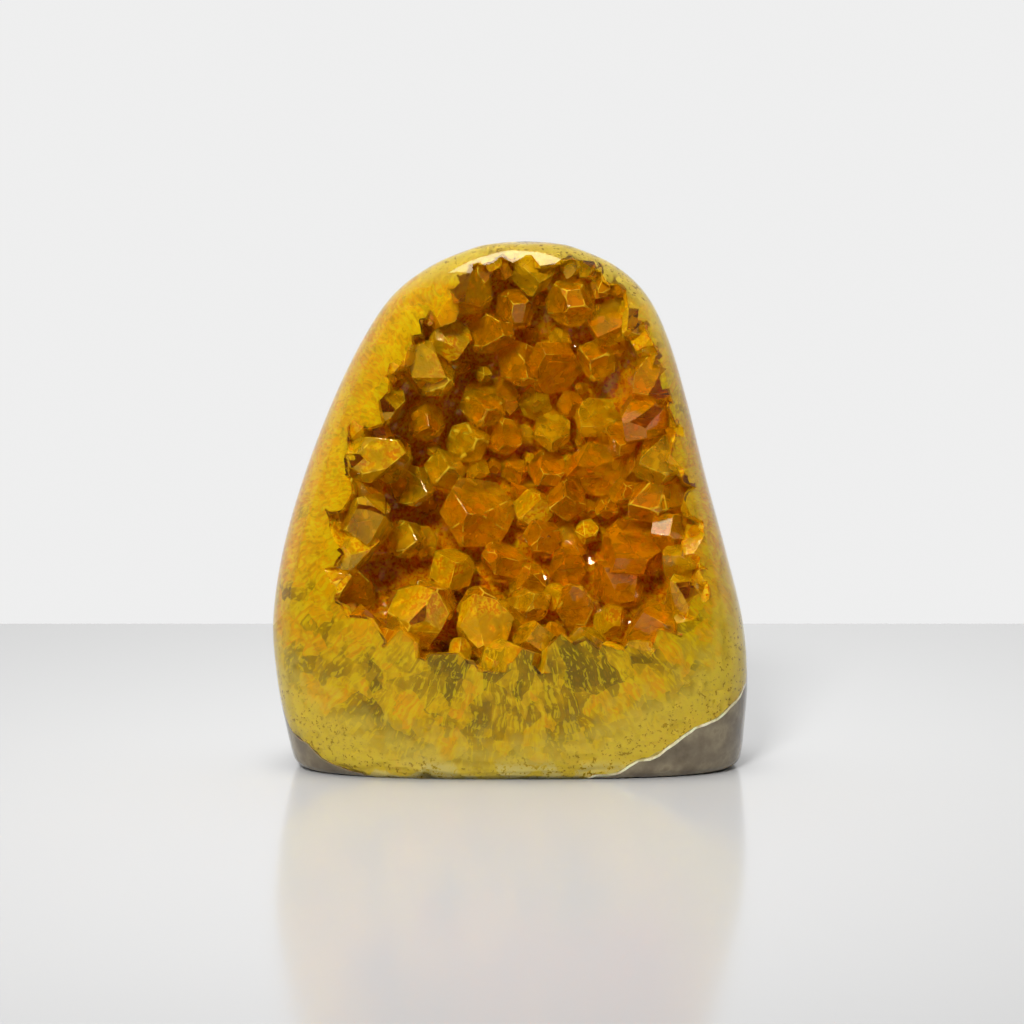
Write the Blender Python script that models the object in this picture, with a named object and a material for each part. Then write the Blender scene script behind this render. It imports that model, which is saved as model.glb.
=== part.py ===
"""Cut-base druzy of heat-treated amethyst: a polished stone with a hollow full of crystals.

The stone stands on a sawn base at z = 0, faces -Y and is 100 mm high. It has three parts:
the grey host rock behind and under the quartz, the polished quartz band that the hollow is in,
and the crust of crystals that lines the hollow.
"""
import math
import random

import bmesh
import bpy
from mathutils import Euler, Matrix, Vector
from mathutils.bvhtree import BVHTree

MM = 0.001

# The stone's outside, as level sections from the sawn base to the crown, all in millimetres:
# height, then how far the section reaches to the left, the right, the front and the back.
STONE_LEVELS = (
    (0.0, 39.9, 41.9, 17.2, 24.5),
    (0.7, 41.1, 43.1, 18.4, 25.8),
    (2.4, 42.1, 44.0, 19.4, 26.8),
    (8.0, 43.4, 44.6, 20.4, 28.0),
    (17.0, 45.0, 45.1, 21.0, 29.2),
    (28.0, 45.7, 44.1, 21.2, 29.8),
    (41.0, 43.8, 40.9, 20.8, 29.2),
    (55.0, 39.8, 37.0, 19.6, 27.0),
    (70.0, 34.0, 33.2, 17.4, 23.6),
    (82.0, 28.0, 29.5, 14.4, 19.4),
    (90.0, 22.4, 25.4, 11.2, 15.2),
    (95.4, 15.2, 19.5, 7.8, 11.0),
    (98.8, 7.0, 11.8, 4.2, 6.6),
    (99.7, 2.2, 7.2, 1.3, 3.9),
)
CROWN = Vector((2.6, 1.2, 100.0))
ROUNDNESS_FRONT = 2.9  # a section's superellipse exponents: the front is flatter than the back
ROUNDNESS_BACK = 2.15
SECTION_POINTS = 36
STEPS_BETWEEN_LEVELS = 2
SKIN_LUMP = 1.1  # how far the natural skin at the back swells and sinks
SKIN_STARTS = 9.0  # the sides are polished as far back as this

# The ellipsoid that the quartz fills, with the host rock outside it.
QUARTZ_CENTRE = Vector((-5.0, -20.0, 51.5))
QUARTZ_REACH = Vector((62.0, 41.0, 54.5))
QUARTZ_LEAN = math.radians(-5)

# The hollow, as level sections: height, reach to the left and right of the middle, where the
# section is widest from front to back, and its reach in front of and behind that.
HOLLOW_LEVELS = (
    (21.4, 12.0, 16.0, -18.8, 10.0, 4.2),
    (24.0, 21.0, 25.5, -18.4, 12.0, 8.6),
    (28.5, 28.5, 32.5, -18.0, 13.0, 13.4),
    (34.5, 32.8, 36.0, -17.5, 14.0, 17.6),
    (42.5, 34.2, 36.4, -17.0, 14.0, 20.6),
    (52.0, 33.4, 34.8, -16.5, 14.0, 22.2),
    (62.0, 30.4, 32.6, -15.5, 14.0, 21.8),
    (71.0, 25.6, 30.2, -14.0, 14.0, 19.8),
    (79.0, 20.6, 27.6, -12.0, 14.0, 16.6),
    (86.0, 16.2, 24.2, -9.6, 13.0, 12.4),
    (91.6, 12.2, 20.0, -7.4, 12.0, 8.6),
    (95.8, 8.2, 14.6, -5.8, 10.0, 4.4),
)
HOLLOW_FOOT = Vector((2.6, -20.0, 20.2))
HOLLOW_TOP = Vector((3.8, -4.4, 97.8))
HOLLOW_MIDDLE = Vector((1.5, -14.0, 55.0))
HOLLOW_ROUNDNESS = 2.2
HOLLOW_POINTS = 22

GAP = 0.3  # between parts that touch
SLIVER = 0.002  # edges shorter than this are closed up
CRUST_DEPTH = 2.4  # the crust's floor, under its crystals
RIM_DEPTH = 5.0  # crystals rooted nearer the polished face than this belong to the quartz band
VIEW_FALL = math.radians(8)  # the crystals' places are read from in front, looking down this much
ROOT = 2.4  # how deep a crystal is rooted in what it grows from
ROOT_SHARE = 0.72  # how wide its root is, as a share of its full width
SHAFT_RANGE = (0.34, 0.66)  # a shaft's height for each millimetre of its width
TIP_RISE = 0.56  # a tip's height, TIP_SKEW how far it's off the middle, and SHOULDER_STEP how
TIP_SKEW = 0.13  # uneven its six faces start, all for each millimetre of width
SHOULDER_STEP = 0.10
FORWARD = 0.75  # how strongly crystals turn towards the hollow's mouth
TIP_AHEAD = 0.6  # a large crystal's place is that of its tip, this many widths from its root
MOUTH = -20.0  # the plane that the large crystals' places are read in
TIP_CLEAR = 0.8  # every tip stays this far behind the polished face: a crystal that would stand
SINK_STEP = 0.5  # out further is rooted deeper, in steps
SINK_STEPS = 30
SEED = 7

# The large crystals, placed as seen from in front: across, up, width, leaning to the right and
# upwards in degrees, and the turn about their own axis.
LARGE_CRYSTALS = (
    (-6.1, 52.4, 14.2, -6, 6, 10),
    (22.0, 45.6, 13.4, -12, 10, 34),
    (-26.3, 38.8, 15.5, 14, 12, 5),
    (-14.3, 34.8, 10.0, 16, 10, 40),
    (-19.1, 27.9, 12.4, 10, 16, 22),
    (-4.8, 25.2, 11.0, -6, 18, 48),
    (4.1, 24.3, 9.5, 4, 16, 12),
    (23.8, 31.5, 12.0, -10, 12, 15),
    (32.7, 32.5, 10.0, -16, 10, 30),
    (-7.5, 91.0, 11.5, 2, -14, 0),
    (10.4, 90.4, 10.5, -8, -10, 24),
    (17.5, 86.8, 9.5, -14, -6, 50),
    (7.7, 79.3, 11.6, 2, 6, 30),
    (-3.9, 85.0, 9.5, 6, -8, 14),
    (-4.8, 73.0, 10.4, 8, 10, 38),
    (1.4, 80.4, 9.0, 12, -6, 8),
    (22.9, 75.7, 12.0, -20, 2, 20),
    (23.8, 69.4, 11.0, -18, 6, 44),
    (26.4, 61.3, 10.4, -14, 4, 6),
    (-29.8, 61.3, 10.2, 16, 2, 26),
    (-22.7, 62.2, 10.8, 12, 4, 52),
    (-27.1, 56.0, 8.6, 14, -4, 35),
    (-19.1, 56.8, 8.6, 14, -6, 18),
    (-26.3, 49.6, 12.0, 14, 4, 42),
    (15.7, 59.5, 12.0, -10, -4, 12),
    (6.8, 60.4, 8.4, -4, 10, 32),
    (7.7, 67.6, 7.8, 4, -10, 56),
    (10.4, 54.0, 8.2, 8, 12, 2),
    (-1.3, 43.3, 9.4, 8, 10, 28),
    (-11.1, 41.0, 9.4, 8, 8, 46),
    (-20.0, 46.2, 8.0, 16, -6, 16),
    (5.9, 47.2, 7.8, 2, 14, 27),
    (10.4, 41.0, 8.2, -4, 8, 36),
    (19.3, 38.0, 9.6, -14, 14, 54),
    (31.8, 46.9, 9.6, -16, 4, 24),
    (13.9, 27.5, 8.0, -10, 20, 9),
    (-14.6, 77.5, 9.0, 18, 6, 33),
    (-14.6, 86.0, 8.6, 14, -8, 58),
    (-19.4, 81.0, 8.6, 20, -4, 21),
    (-21.8, 71.2, 9.2, 16, 6, 49),
    (-15.4, 68.4, 8.4, 8, -6, 3),
    (-8.4, 65.4, 8.8, 4, 6, 39),
    (-1.6, 66.6, 7.8, -6, -6, 11),
    (-12.9, 60.0, 8.4, 8, 10, 19),
    (3.6, 35.6, 8.6, 6, 16, 45),
    (-6.6, 33.2, 8.4, 4, 12, 19),
    (11.6, 34.0, 7.8, -4, 14, 37),
    (15.6, 80.6, 8.6, -8, 2, 53),
    (15.4, 70.0, 8.8, -10, 4, 31),
    (30.4, 53.8, 9.4, -18, -2, 13),
    (-31.0, 50.0, 8.8, 18, 2, 44),
    (-33.0, 42.0, 8.6, 20, 4, 8),
    (33.4, 40.0, 8.8, -18, 6, 41),
    (25.6, 53.4, 8.6, -12, 8, 29),
)

# The smaller crystals between them, as size classes: how many places are tried, and the least
# and greatest width.
FILL_CLASSES = ((260, 6.6, 8.6), (300, 4.8, 6.2))
FILL_SPREAD = 12  # degrees that their directions vary by
CLOSEST = 0.32  # two crystals' roots are at least this share of their joint width apart
EDGE_MARGIN = 0.5  # no crystal is rooted nearer the polished face than this

COLOURS = {
    "rock_rind": ((0.16, 0.15, 0.14), 0.55),
    "quartz_band": ((0.74, 0.52, 0.08), 0.12),
    "crystal_crust": ((0.62, 0.27, 0.02), 0.15),
}


def clear_scene():
    for obj in list(bpy.data.objects):
        bpy.data.objects.remove(obj)


def new_collection(name):
    collection = bpy.data.collections.new(name)
    bpy.context.scene.collection.children.link(collection)
    return collection


def object_from(bm, name, collection):
    """The bmesh, drawn in millimetres, as an object of real size."""
    bmesh.ops.recalc_face_normals(bm, faces=bm.faces)
    bmesh.ops.scale(bm, vec=(MM, MM, MM), verts=bm.verts)
    mesh = bpy.data.meshes.new(name)
    bm.to_mesh(mesh)
    bm.free()
    obj = bpy.data.objects.new(name, mesh)
    collection.objects.link(obj)
    return obj


def as_cutter(obj):
    obj.hide_render = True
    obj.display_type = "WIRE"
    return obj


def combine(obj, operation, other, self_crossing=False):
    boolean = obj.modifiers.new(operation.lower() + "_" + other.name, "BOOLEAN")
    boolean.operation = operation
    boolean.object = other
    boolean.use_self = self_crossing


def apply_modifiers(obj):
    """Replaces the mesh with what the modifiers make of it."""
    bpy.context.view_layer.update()
    graph = bpy.context.evaluated_depsgraph_get()
    made = bpy.data.meshes.new_from_object(obj.evaluated_get(graph))
    obj.modifiers.clear()
    obj.data = made


def smoothly(before, start, end, after, share):
    """Catmull-Rom interpolation of one number between start and end."""
    slope_in, slope_out = (end - before) / 2, (after - start) / 2
    square, cube = share**2, share**3
    return (
        (2 * cube - 3 * square + 1) * start
        + (cube - 2 * square + share) * slope_in
        + (3 * square - 2 * cube) * end
        + (cube - square) * slope_out
    )


def with_steps(levels, steps):
    """The level sections with smooth ones put in between."""
    made = []
    rows = [levels[0], *levels, levels[-1]]
    for before, start, end, after in zip(rows, rows[1:], rows[2:], rows[3:]):
        for step in range(steps):
            made.append([smoothly(*four, step / steps) for four in zip(before, start, end, after)])
    return [*made, levels[-1]]


def on_section(level, turn, roundness_front, roundness_back):
    """The point of a level section at that angle, counted from the right."""
    height, left, right, waist, front, back = level
    half_width, middle = (left + right) / 2, (right - left) / 2
    across, deep = math.cos(turn), math.sin(turn)
    power = 2 / (roundness_front if deep < 0 else roundness_back)
    reach = front if deep < 0 else back
    x = middle + half_width * math.copysign(abs(across) ** power, across)
    y = waist + reach * math.copysign(abs(deep) ** power, deep)
    return Vector((x, y, height))


def body_through(levels, foot, top, points, roundness_front, roundness_back):
    """A closed body through the level sections: a sphere whose rings are moved onto them."""
    bm = bmesh.new()
    steps = len(levels) + 1
    bmesh.ops.create_uvsphere(bm, u_segments=points, v_segments=steps, radius=1)
    for vert in bm.verts:
        ring = round(steps * math.acos(max(-1.0, min(1.0, -vert.co.z))) / math.pi)
        turn = math.atan2(vert.co.y, vert.co.x) - math.pi / 2
        if ring == 0:
            vert.co = foot
        elif ring == steps:
            vert.co = top
        else:
            vert.co = on_section(levels[ring - 1], turn, roundness_front, roundness_back)
    bmesh.ops.recalc_face_normals(bm, faces=bm.faces)
    return bm


def skin_swell(point):
    """How far the natural skin stands out at a point: broad lumps, fading into the polish."""
    fade = min(1.0, max(0.0, (point.y - SKIN_STARTS) / 8.0))
    lumps = math.sin(0.31 * point.x + 1.3) * math.cos(0.27 * point.z + 0.4)
    ripple = 0.5 * math.sin(0.62 * point.x - 0.45 * point.z)
    return SKIN_LUMP * fade * (lumps + ripple)


def stone_form(name, collection):
    """The whole stone, closed, through its level sections."""
    levels = [(h, left, right, 0.0, front, back) for h, left, right, front, back in STONE_LEVELS]
    levels = with_steps(levels, STEPS_BETWEEN_LEVELS)
    roundness = (ROUNDNESS_FRONT, ROUNDNESS_BACK)
    bm = body_through(levels, Vector(), CROWN, SECTION_POINTS, *roundness)
    for vert in bm.verts:
        outwards = Vector((vert.co.x, vert.co.y, 0)).normalized()
        vert.co += outwards * skin_swell(vert.co)
    return object_from(bm, name, collection)


def hollow_form(grown=0.0):
    """The hollow as a closed bmesh, its skin moved out by grown."""
    roundness = (HOLLOW_ROUNDNESS,) * 2
    bm = body_through(HOLLOW_LEVELS, HOLLOW_FOOT, HOLLOW_TOP, HOLLOW_POINTS, *roundness)
    bm.normal_update()
    moves = [(vert, vert.normal * grown) for vert in bm.verts]
    for vert, move in moves:
        vert.co += move
    return bm


def quartz_extent(name, collection, grown=0.0):
    bm = bmesh.new()
    bmesh.ops.create_uvsphere(bm, u_segments=32, v_segments=16, radius=1.0)
    size = Matrix.Diagonal((*(QUARTZ_REACH + Vector((grown,) * 3)), 1.0))
    place = Matrix.Translation(QUARTZ_CENTRE) @ Matrix.Rotation(QUARTZ_LEAN, 4, "X")
    bmesh.ops.transform(bm, matrix=place @ size, verts=bm.verts)
    return as_cutter(object_from(bm, name, collection))


class Crystal:
    """A six-sided crystal: where it is rooted, which way it points, and its size."""

    def __init__(self, root, axis, width, turn, rng):
        self.root, self.axis, self.width, self.turn = root, axis, width, turn
        self.shaft = width * rng.uniform(*SHAFT_RANGE)
        self.skew = Vector((rng.uniform(-1, 1), rng.uniform(-1, 1), 0)) * width * TIP_SKEW
        self.steps = [rng.uniform(-1, 1) * width * SHOULDER_STEP for _ in range(6)]

    def sink(self):
        """Roots the crystal deeper until its tip stays behind the polished face."""
        for _ in range(SINK_STEPS):
            tip = self.root + self.axis * (self.shaft + TIP_RISE * self.width)
            front = front_of_stone(tip.x, tip.z)
            if front is not None and tip.y > front + TIP_CLEAR:
                return
            self.root -= self.axis * SINK_STEP

    def add_to(self, bm, grown=0.0):
        """Puts the crystal in bm: a shaft that widens upwards, and a tip of six unlike faces."""
        radius = self.width / 2 + grown
        length = ROOT + self.shaft + grown
        root_radius = ROOT_SHARE * radius
        made = bmesh.ops.create_cone(
            bm, cap_ends=True, segments=6, radius1=root_radius, radius2=radius, depth=length
        )
        shape = made["verts"]
        bmesh.ops.translate(bm, vec=(0, 0, length / 2 - ROOT), verts=shape)
        shoulder = [vert for vert in shape if vert.co.z > 0]
        cap = next(f for f in shoulder[0].link_faces if all(v in f.verts for v in shoulder))
        rise = TIP_RISE * self.width + grown
        tip = bmesh.ops.poke(bm, faces=[cap])["verts"][0]
        tip.co += Vector((0, 0, rise)) + self.skew
        for vert, step in zip(shoulder, self.steps):
            vert.co.z += step
        turned = Matrix.Rotation(self.turn, 4, "Z")
        aimed = self.axis.to_track_quat("Z", "Y").to_matrix().to_4x4()
        place = Matrix.Translation(self.root) @ aimed @ turned
        bmesh.ops.transform(bm, matrix=place, verts=[*shape, tip])


class Hollow:
    """The hollow's surface, for finding where crystals are rooted."""

    def __init__(self):
        bm = hollow_form()
        self.surface = BVHTree.FromBMesh(bm)
        bm.free()

    def seen_at(self, across, up):
        """The point of the surface seen at that place from in front."""
        sight = Vector((0, math.cos(VIEW_FALL), -math.sin(VIEW_FALL)))
        start = Vector((across, MOUTH, up)) + MOUTH * sight
        return self.last_hit(start, sight)

    def towards(self, direction):
        return self.last_hit(HOLLOW_MIDDLE, direction)

    def last_hit(self, start, direction):
        """Where the line leaves the hollow, and the direction into the hollow there."""
        found = None
        while True:
            point, normal, _, _ = self.surface.ray_cast(start, direction)
            if point is None:
                return found
            found = (point, normal if normal.dot(direction) < 0 else -normal)
            start = point + 0.01 * direction


def front_of_stone(across, up):
    """How far forward the polished face is at that place, or None outside the stone."""
    for lower, upper in zip(STONE_LEVELS, STONE_LEVELS[1:]):
        if lower[0] <= up < upper[0]:
            share = (up - lower[0]) / (upper[0] - lower[0])
            _, left, right, front, _ = (a + (b - a) * share for a, b in zip(lower, upper))
            offset = abs(across - (right - left) / 2) / ((left + right) / 2)
            if offset < 1:
                return -front * (1 - offset**ROUNDNESS_FRONT) ** (1 / ROUNDNESS_FRONT)
    return None


def growth_axis(inwards, lean_right, lean_up):
    """Crystals grow into the hollow, and towards the light at its mouth."""
    axis = inwards + Vector((0, -FORWARD, 0))
    axis.rotate(Euler((math.radians(-lean_up), 0, math.radians(lean_right))))
    return axis.normalized()


def large_crystals(hollow, rng):
    for across, up, width, lean_right, lean_up, turn in LARGE_CRYSTALS:
        seen = hollow.seen_at(across, up)
        if seen is None:
            continue
        axis = growth_axis(seen[1], lean_right, lean_up)
        aside = axis * TIP_AHEAD * width
        root, _ = hollow.seen_at(across - aside.x, up - aside.z) or seen
        yield Crystal(root, axis, width, math.radians(turn), rng)


def fill_crystals(hollow, grown, rng):
    """Smaller crystals, wherever the ones before leave room on the hollow's surface."""
    for tries, least, most in FILL_CLASSES:
        for _ in range(tries):
            direction = Vector((rng.gauss(0, 1), rng.gauss(0, 1), rng.gauss(0, 1)))
            root, inwards = hollow.towards(direction)
            width = rng.uniform(least, most)
            front = front_of_stone(root.x, root.z)
            if front is None or root.y < front + EDGE_MARGIN:
                continue
            if any((root - c.root).length < CLOSEST * (width + c.width) for c in grown):
                continue
            leans = (rng.gauss(0, FILL_SPREAD), rng.gauss(0, FILL_SPREAD))
            axis = growth_axis(inwards, *leans)
            grown.append(Crystal(root, axis, width, rng.uniform(0, math.pi / 3), rng))


def all_crystals():
    rng = random.Random(SEED)
    hollow = Hollow()
    grown = list(large_crystals(hollow, rng))
    fill_crystals(hollow, grown, rng)
    for crystal in grown:
        crystal.sink()
    return grown


def at_rim(crystal):
    front = front_of_stone(crystal.root.x, crystal.root.z)
    return front is None or crystal.root.y < front + RIM_DEPTH


def crystal_group(name, collection, crystals, grown=0.0):
    bm = bmesh.new()
    for crystal in crystals:
        crystal.add_to(bm, grown)
    return object_from(bm, name, collection)


def keep_largest_body(obj):
    """Drops the slivers and loose chips that a cut leaves."""
    bm = bmesh.new()
    bm.from_mesh(obj.data)
    bmesh.ops.dissolve_degenerate(bm, edges=bm.edges, dist=SLIVER * MM)
    unseen, bodies = set(bm.verts), []
    while unseen:
        body, edge = [], [unseen.pop()]
        while edge:
            vert = edge.pop()
            body.append(vert)
            for link in vert.link_edges:
                other = link.other_vert(vert)
                if other in unseen:
                    unseen.remove(other)
                    edge.append(other)
        bodies.append(body)
    bodies.sort(key=len)
    chips = [vert for body in bodies[:-1] for vert in body]
    bmesh.ops.delete(bm, geom=chips, context="VERTS")
    bm.to_mesh(obj.data)
    bm.free()


def dress(obj):
    colour, roughness = COLOURS[obj.name]
    material = bpy.data.materials.new(obj.name)
    material.use_nodes = True
    shader = material.node_tree.nodes["Principled BSDF"]
    shader.inputs["Base Color"].default_value = (*colour, 1)
    shader.inputs["Roughness"].default_value = roughness
    shader.inputs["Metallic"].default_value = 0
    obj.data.materials.clear()
    obj.data.materials.append(material)


def build_rock_rind(parts, cutters):
    rind = stone_form("rock_rind", parts)
    combine(rind, "DIFFERENCE", quartz_extent("quartz_clearance", cutters, GAP))
    apply_modifiers(rind)
    keep_largest_body(rind)
    return rind


def build_quartz_band(parts, cutters, crystals):
    """The quartz inside the rock, hollowed out round the crystals at the rim.

    Those are polished off flush, because the band is cut from the polished stone's form.
    """
    band = stone_form("quartz_band", parts)
    rim = as_cutter(crystal_group("rim_crystals", cutters, crystals))
    hollow = as_cutter(object_from(hollow_form(), "hollow", cutters))
    combine(hollow, "DIFFERENCE", rim, self_crossing=True)
    hollow.modifiers.new("flat_faces", "TRIANGULATE")
    combine(band, "DIFFERENCE", hollow)
    combine(band, "INTERSECT", quartz_extent("quartz_extent", cutters))
    apply_modifiers(band)
    keep_largest_body(band)
    return band


def build_crystal_crust(parts, cutters, crystals, rim_crystals):
    """The crystals inside the hollow and the floor that joins them."""
    crust = crystal_group("crystal_crust", parts, crystals)
    floor = as_cutter(object_from(hollow_form(), "crust_floor", cutters))
    inner = as_cutter(object_from(hollow_form(-CRUST_DEPTH), "crust_inner", cutters))
    limit = as_cutter(object_from(hollow_form(-GAP), "crust_limit", cutters))
    polish = as_cutter(stone_form("crust_polish", cutters))
    keep_off = as_cutter(crystal_group("rim_clearance", cutters, rim_crystals, GAP))
    combine(floor, "DIFFERENCE", inner)
    combine(crust, "UNION", floor, self_crossing=True)
    combine(crust, "INTERSECT", limit)
    combine(crust, "INTERSECT", polish)
    combine(crust, "DIFFERENCE", keep_off, self_crossing=True)
    apply_modifiers(crust)
    keep_largest_body(crust)
    return crust


def centre_on_base(objects):
    """Moves the origin to the middle of the base of the whole stone's box."""
    corners = [vert.co for obj in objects for vert in obj.data.vertices]
    low = Vector([min(corner[axis] for corner in corners) for axis in range(3)])
    high = Vector([max(corner[axis] for corner in corners) for axis in range(3)])
    middle = Vector(((low.x + high.x) / 2, (low.y + high.y) / 2, low.z))
    for obj in objects:
        obj.data.transform(Matrix.Translation(-middle))


def build():
    clear_scene()
    parts = new_collection("druzy")
    cutters = new_collection("cutters")
    crystals = all_crystals()
    rim = [c for c in crystals if at_rim(c)]
    inner = [c for c in crystals if not at_rim(c)]
    made = (
        build_rock_rind(parts, cutters),
        build_quartz_band(parts, cutters, rim),
        build_crystal_crust(parts, cutters, inner, rim),
    )
    centre_on_base(made)
    for part in made:
        dress(part)


build()
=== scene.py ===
import math
import random

import bmesh
import bpy
from mathutils import Euler, Matrix, Vector, noise
from mathutils.bvhtree import BVHTree


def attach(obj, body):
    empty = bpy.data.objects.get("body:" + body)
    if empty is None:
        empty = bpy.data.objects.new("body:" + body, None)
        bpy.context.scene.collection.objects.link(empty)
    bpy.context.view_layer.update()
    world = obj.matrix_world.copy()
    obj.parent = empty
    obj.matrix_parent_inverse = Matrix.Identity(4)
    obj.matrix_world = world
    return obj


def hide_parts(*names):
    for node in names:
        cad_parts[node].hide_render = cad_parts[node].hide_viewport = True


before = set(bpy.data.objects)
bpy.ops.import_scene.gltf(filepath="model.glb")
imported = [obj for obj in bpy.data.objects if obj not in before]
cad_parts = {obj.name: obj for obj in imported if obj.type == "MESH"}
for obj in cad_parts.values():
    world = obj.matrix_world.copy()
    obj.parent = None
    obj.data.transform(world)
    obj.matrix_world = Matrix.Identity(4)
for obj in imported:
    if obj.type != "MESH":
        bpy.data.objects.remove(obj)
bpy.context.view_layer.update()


# Host rock
# The grey volcanic rock that the quartz grew in, left as a shell behind and under it. Its sides
# are polished with the quartz, its base is sawn flat, and its back keeps the rough natural skin.

MM = 0.001
DESIGN_MIDDLE = Vector((-0.3, 4.93, 0.0))  # the levels below are drawn round another axis

# The stone's outside as level sections, in millimetres: height, then how far the section
# reaches to the left, the right, the front and the back.
STONE_LEVELS = (
    (0.0, 39.9, 41.9, 17.2, 24.5),
    (0.7, 41.1, 43.1, 18.4, 25.8),
    (2.4, 42.1, 44.0, 19.4, 26.8),
    (8.0, 43.4, 44.6, 20.4, 28.0),
    (17.0, 45.0, 45.1, 21.0, 29.2),
    (28.0, 45.7, 44.1, 21.2, 29.8),
    (41.0, 43.8, 40.9, 20.8, 29.2),
    (55.0, 39.8, 37.0, 19.6, 27.0),
    (70.0, 34.0, 33.2, 17.4, 23.6),
    (82.0, 28.0, 29.5, 14.4, 19.4),
    (90.0, 22.4, 25.4, 11.2, 15.2),
    (95.4, 15.2, 19.5, 7.8, 11.0),
    (98.8, 7.0, 11.8, 4.2, 6.6),
    (99.7, 2.2, 7.2, 1.3, 3.9),
)
CROWN = Vector((2.6, 1.2, 100.0))  # the outside's highest point
ROUNDNESS_FRONT = 2.9
ROUNDNESS_BACK = 2.15
SKIN_STARTS = 9.0  # the sides are polished as far back as this
SKIN_LUMP = 1.1  # how far the rough skin's lumps and its grain stand out
SKIN_GRAIN = 0.55
SKIN_FURTHEST = 30.6  # lumps that stand out further back than this are pressed flatter

# The ellipsoid that the quartz fills.
QUARTZ_CENTRE = Vector((-5.0, -20.0, 51.5))
QUARTZ_REACH = Vector((62.0, 41.0, 54.5))
QUARTZ_LEAN = math.radians(-5)  # its turn about the line from left to right
SEAM_WANDER = 1.1  # how far the quartz's edge strays from the ellipsoid
CORNER_SWELLS = (3.5, 6.5)  # how much further it reaches at the stone's left and right foot
SEAM_THICKNESS = 0.5
SEAM_AT_LEFT = 0.3  # there the seam is only this share as thick
OVERLAP = 0.04  # how far one piece's mesh reaches into the next


def smoothly(before, start, end, after, share):
    """Catmull-Rom interpolation of one number between start and end."""
    slope_in, slope_out = (end - before) / 2, (after - start) / 2
    square, cube = share**2, share**3
    return (
        (2 * cube - 3 * square + 1) * start
        + (cube - 2 * square + share) * slope_in
        + (3 * square - 2 * cube) * end
        + (cube - square) * slope_out
    )


def with_steps(levels, steps):
    """The level sections with smooth ones put in between."""
    made = []
    rows = [levels[0], *levels, levels[-1]]
    for before, start, end, after in zip(rows, rows[1:], rows[2:], rows[3:]):
        for step in range(steps):
            made.append([smoothly(*four, step / steps) for four in zip(before, start, end, after)])
    return [*made, levels[-1]]


def on_section(level, turn, roundness_front, roundness_back):
    """The point of a level section at that angle, counted from the right."""
    height, left, right, waist, front, back = level
    half_width, middle = (left + right) / 2, (right - left) / 2
    across, deep = math.cos(turn), math.sin(turn)
    power = 2 / (roundness_front if deep < 0 else roundness_back)
    reach = front if deep < 0 else back
    x = middle + half_width * math.copysign(abs(across) ** power, across)
    y = waist + reach * math.copysign(abs(deep) ** power, deep)
    return Vector((x, y, height))


def body_through(levels, foot, top, points, roundness_front, roundness_back):
    """A closed body through the level sections: a sphere whose rings are moved onto them."""
    bm = bmesh.new()
    steps = len(levels) + 1
    bmesh.ops.create_uvsphere(bm, u_segments=points, v_segments=steps, radius=1)
    for vert in bm.verts:
        ring = round(steps * math.acos(max(-1.0, min(1.0, -vert.co.z))) / math.pi)
        turn = math.atan2(vert.co.y, vert.co.x) - math.pi / 2
        if ring == 0:
            vert.co = foot
        elif ring == steps:
            vert.co = top
        else:
            vert.co = on_section(levels[ring - 1], turn, roundness_front, roundness_back)
    bmesh.ops.recalc_face_normals(bm, faces=bm.faces)
    return bm


def skin_swell(point):
    """How far the natural skin stands out at a point, fading into the polish."""
    fade = min(1.0, max(0.0, (point.y - SKIN_STARTS) / 8.0))
    lumps = math.sin(0.31 * point.x + 1.3) * math.cos(0.27 * point.z + 0.4)
    ripple = 0.5 * math.sin(0.62 * point.x - 0.45 * point.z)
    grain = noise.fractal(point * 0.32, 0.8, 2.1, 5)
    return fade * (SKIN_LUMP * (lumps + ripple) + SKIN_GRAIN * grain)


def stone_form(points, steps, inset=0.0):
    """The stone's outside, or a form that lies that far inside it."""
    levels = [(h, left, right, 0.0, front, back) for h, left, right, front, back in STONE_LEVELS]
    levels = with_steps(levels, steps)
    bm = body_through(levels, Vector(), CROWN, points, ROUNDNESS_FRONT, ROUNDNESS_BACK)
    bm.normal_update()
    for vert in bm.verts:
        if vert.co.z > 0:
            outwards = Vector((vert.co.x, vert.co.y, 0)).normalized()
            vert.co += outwards * skin_swell(vert.co)
            vert.co.y -= 0.7 * max(0.0, vert.co.y - SKIN_FURTHEST)
    bm.normal_update()
    moves = [(vert, vert.normal * inset) for vert in bm.verts]
    for vert, move in moves:
        vert.co -= move
    return bm


def seam_share(point):
    """How thick the seam is there, as a share: thin at the left, and uneven."""
    across = min(1.0, max(0.0, (point.x + 30.0) / 50.0))
    return (SEAM_AT_LEFT + (1 - SEAM_AT_LEFT) * across) * (1.0 + 0.6 * noise.noise(point * 0.3))


def eased(value, low, high):
    """From 0 at low to 1 at high, easing in and out."""
    share = min(1.0, max(0.0, (value - low) / (high - low)))
    return share * share * (3 - 2 * share)


def corner_swell(point):
    """How much further to the side the quartz reaches there."""
    left, right = CORNER_SWELLS
    if point.x < 0:
        return -left * eased(point.z, 30, 14) * min(1.0, -point.x / 40)
    return right * eased(point.z, 6, 16) * eased(point.z, 50, 30) * min(1.0, point.x / 40)


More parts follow.
